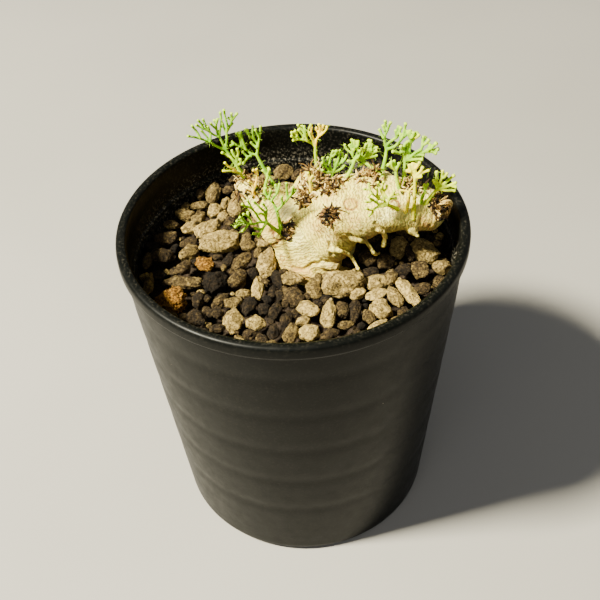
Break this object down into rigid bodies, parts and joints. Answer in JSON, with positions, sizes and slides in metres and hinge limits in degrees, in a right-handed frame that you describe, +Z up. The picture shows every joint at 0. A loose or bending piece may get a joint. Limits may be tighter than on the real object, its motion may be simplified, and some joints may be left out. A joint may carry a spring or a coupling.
{
  "type": "potted succulent plant",
  "caption": "Small caudex plant with a pale swollen forked stem and finely cut leaves, in a round tapered black pot filled with coarse gravel.",
  "frame": {"origin": "centre of the pot's ring foot, on the surface that the pot stands on", "axes": "+Z up out of the pot's mouth, +X along the stem's long limb, -Y towards the side that the picture was taken from"},
  "size_m": [0.075, 0.075, 0.1005],
  "materials": {
    "pot_plastic": "satin moulded plastic",
    "gravel": "rough dry stone",
    "caudex_skin": "dry wrinkled skin",
    "leaf_green": "soft, finely haired",
    "leaf_yellow": "soft, finely haired",
    "dry_stalks": "dry and fibrous"
  },
  "bodies": {
    "root": {"pot": "pot_plastic", "gravel": "gravel", "caudex": "caudex_skin", "leaf_left_tall": "leaf_green", "leaf_left_middle": "leaf_green", "leaf_left_low": "leaf_green", "leaf_left_inner": "leaf_green", "leaf_left_yellow": "leaf_yellow", "leaf_left_bud": "leaf_green", "leaf_front_tall": "leaf_green", "leaf_front_low": "leaf_green", "leaf_middle_high": "leaf_green", "leaf_middle_bud": "leaf_yellow", "leaf_back_left": "leaf_green", "leaf_back_middle": "leaf_green", "leaf_back_right": "leaf_green", "leaf_right_upright": "leaf_green", "leaf_right_tall": "leaf_green", "leaf_right_small": "leaf_green", "leaf_right_yellow": "leaf_yellow", "leaf_right_end": "leaf_green", "leaf_over_arm": "leaf_green", "leaf_arm_front": "leaf_yellow", "leaf_arm_tip": "leaf_green", "dry_tuft_left": "dry_stalks", "dry_tuft_left_inner": "dry_stalks", "dry_tuft_crotch": "dry_stalks", "dry_tuft_middle": "dry_stalks", "dry_tuft_saddle": "dry_stalks", "dry_tuft_scar": "dry_stalks", "dry_tuft_front": "dry_stalks", "dry_tuft_arm": "dry_stalks", "dry_tuft_arm_right": "dry_stalks", "dry_tuft_end": "dry_stalks"}
  },
  "joints": []
}
